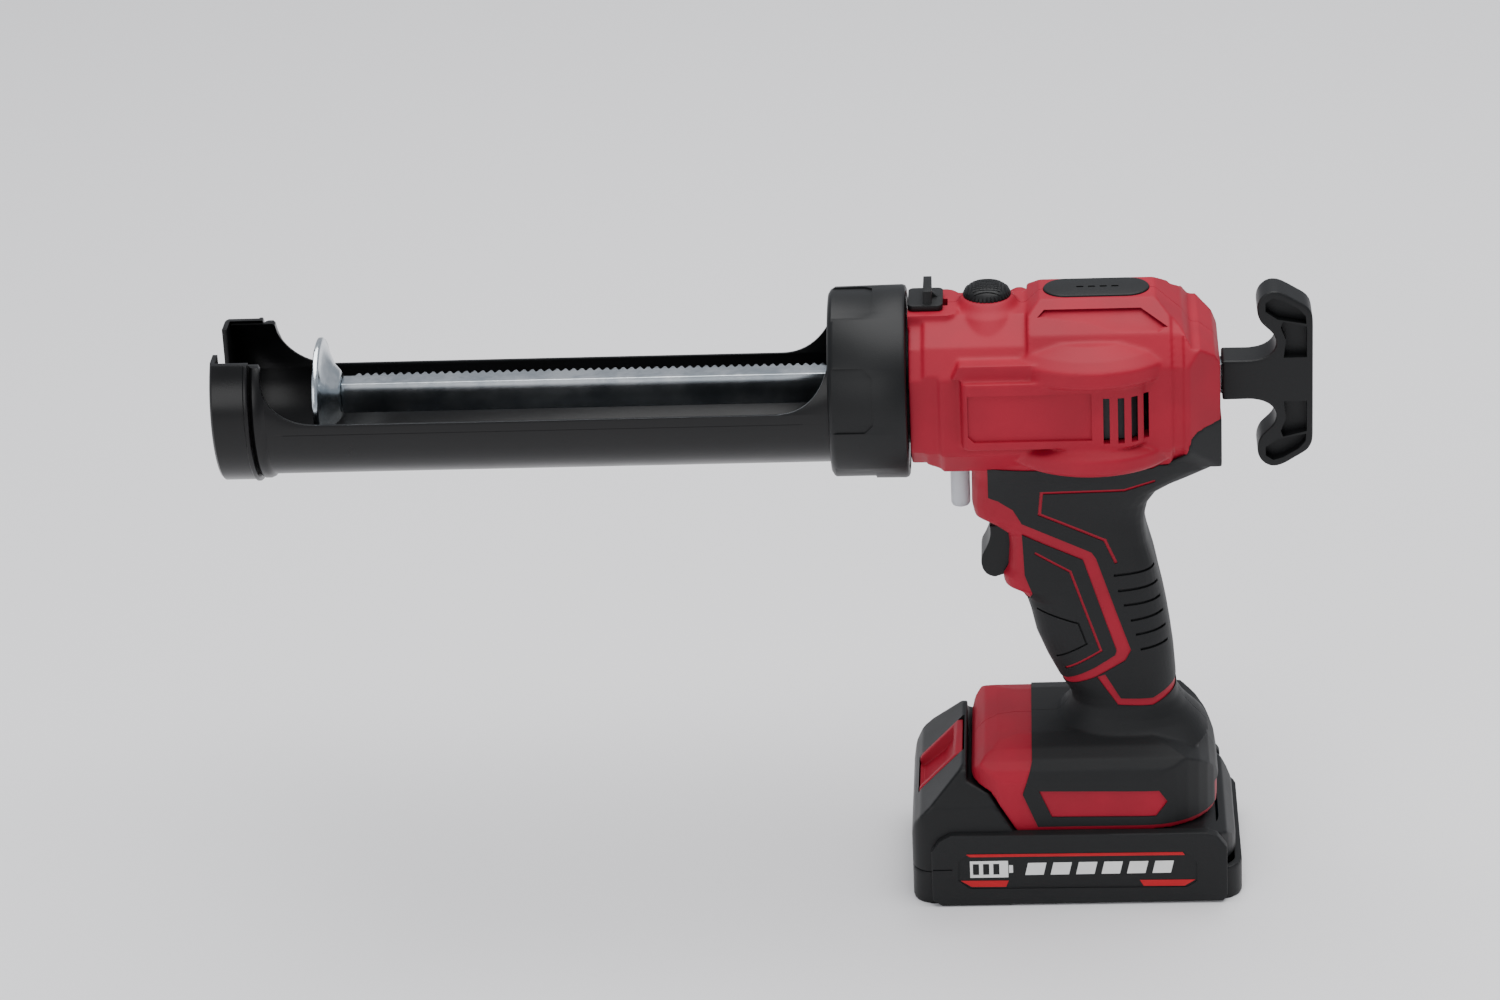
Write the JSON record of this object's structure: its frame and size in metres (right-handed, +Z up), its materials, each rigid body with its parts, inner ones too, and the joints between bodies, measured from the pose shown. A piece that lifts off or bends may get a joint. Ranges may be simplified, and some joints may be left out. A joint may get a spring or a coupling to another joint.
{
  "type": "cordless caulking gun",
  "caption": "Battery caulking gun: half-open cartridge barrel, rack push rod with pull handle, motor housing, pistol grip and slide-on battery.",
  "frame": {"origin": "centre of the battery's flat bottom, on the surface the tool stands on", "axes": "+Z up; +X back along the push rod towards the pull handle, -X towards the nozzle end; +Y towards the tool's right-hand side as it points along -X; Y = 0 is the plane where the housing halves meet"},
  "size_m": [0.3799, 0.077, 0.2261],
  "materials": {
    "red_plastic": "fine spark-eroded moulding, matt",
    "black_plastic": "fine moulded texture, satin",
    "soft_black": "soft-touch overmould, matt",
    "black_paint": "satin black powder coat on sheet steel",
    "zinc": "bright zinc plate",
    "steel": "machined steel",
    "brass": "machined brass",
    "cell_wrap": "shrink-wrapped cell",
    "board_green": "solder-masked board",
    "clear_plastic": "translucent light pipe"
  },
  "bodies": {
    "housing": {"barrel_socket": "black_plastic", "housing_left": "red_plastic", "housing_right": "red_plastic", "grip_overmould_left": "soft_black", "grip_overmould_right": "soft_black", "housing_screw_1": "steel", "housing_screw_2": "steel", "housing_screw_3": "steel", "housing_screw_4": "steel", "housing_screw_5": "steel", "housing_screw_6": "steel", "front_rod_guide": "black_plastic", "rear_rod_guide": "black_plastic", "gearbox_case": "black_plastic", "gearbox_cover": "black_plastic", "top_bearing_plate": "steel", "idler_shaft": "steel", "motor_can": "steel", "motor_endcap": "black_plastic", "trigger_spring": "steel", "trigger_switch": "black_plastic", "slide_switch": "black_plastic", "dial_sensor": "black_plastic", "indicator_cover": "black_plastic", "indicator_board": "board_green", "work_light_lens": "clear_plastic", "led_board": "board_green", "vent_screen_left": "steel", "vent_screen_right": "steel", "control_board": "board_green", "terminal_block": "black_plastic"},
    "barrel": {"barrel": "black_paint", "front_cap": "black_paint"},
    "collar": {"collar_nut": "black_plastic"},
    "rod": {"push_rod": "zinc", "plunger_disc": "zinc", "plunger_screw": "steel", "pull_handle": "black_plastic", "handle_pin": "steel"},
    "drive": {"drive_shaft": "steel", "drive_pinion": "steel", "drive_gear": "steel"},
    "idler": {"idler_gear": "steel"},
    "rotor": {"motor_pinion": "brass"},
    "trigger": {"trigger": "black_plastic"},
    "slide_button": {"slide_button": "black_plastic"},
    "dial": {"speed_dial": "black_plastic"},
    "battery": {"battery_case_lower": "black_plastic", "battery_case_upper": "black_plastic", "battery_bumper_left": "soft_black", "battery_bumper_right": "soft_black", "latch_spring": "steel", "battery_cell_1": "cell_wrap", "battery_cell_2": "cell_wrap", "battery_cell_3": "cell_wrap", "battery_cell_4": "cell_wrap", "battery_cell_5": "cell_wrap", "battery_board": "board_green", "battery_terminals": "brass"},
    "latch": {"latch_button": "red_plastic"}
  },
  "joints": [
    {"name": "rod_slide", "type": "slide", "parent": "housing", "child": "rod", "axis": [1, 0, 0], "range_m": [0, 0.18]},
    {"name": "barrel_turn", "type": "hinge", "parent": "housing", "child": "barrel", "pos_m": [-0.18, 0, 0.188], "axis": [1, 0, 0], "continuous": true},
    {"name": "collar_turn", "type": "hinge", "parent": "housing", "child": "collar", "pos_m": [-0.07, 0, 0.188], "axis": [1, 0, 0], "range_deg": [0, 90]},
    {"name": "drive_spin", "type": "hinge", "parent": "housing", "child": "drive", "pos_m": [0.007, 0.00962, 0.18], "axis": [0, 0, 1], "continuous": true},
    {"name": "idler_spin", "type": "hinge", "parent": "housing", "child": "idler", "pos_m": [-0.00188, -0.00627, 0.172], "axis": [0, 0, 1], "continuous": true},
    {"name": "motor_spin", "type": "hinge", "parent": "housing", "child": "rotor", "pos_m": [0.007, -0.0176, 0.18], "axis": [0, 0, 1], "continuous": true},
    {"name": "trigger_pull", "type": "slide", "parent": "housing", "child": "trigger", "axis": [1, 0, 0], "range_m": [0, 0.005], "stiffness_N_per_m": 300, "springref_m": -0.004, "deforming": ["trigger_spring"]},
    {"name": "button_slide", "type": "slide", "parent": "housing", "child": "slide_button", "axis": [1, 0, 0], "range_m": [0, 0.003]},
    {"name": "dial_turn", "type": "hinge", "parent": "housing", "child": "dial", "pos_m": [-0.028, 0, 0.2176], "axis": [0, 0, 1], "range_deg": [-135, 135]},
    {"name": "battery_slide", "type": "slide", "parent": "housing", "child": "battery", "axis": [-1, 0, 0], "range_m": [0, 0.09]},
    {"name": "latch_press", "type": "slide", "parent": "battery", "child": "latch", "axis": [0, 0, -1], "range_m": [0, 0.0022], "stiffness_N_per_m": 400, "springref_m": -0.004, "deforming": ["latch_spring"]}
  ],
  "couplings": [
    {"joint": "drive_spin", "follows": "rod_slide", "rad_per_m": 180.55},
    {"joint": "idler_spin", "follows": "rod_slide", "rad_per_m": -601.84},
    {"joint": "motor_spin", "follows": "rod_slide", "rad_per_m": 1805.5}
  ]
}
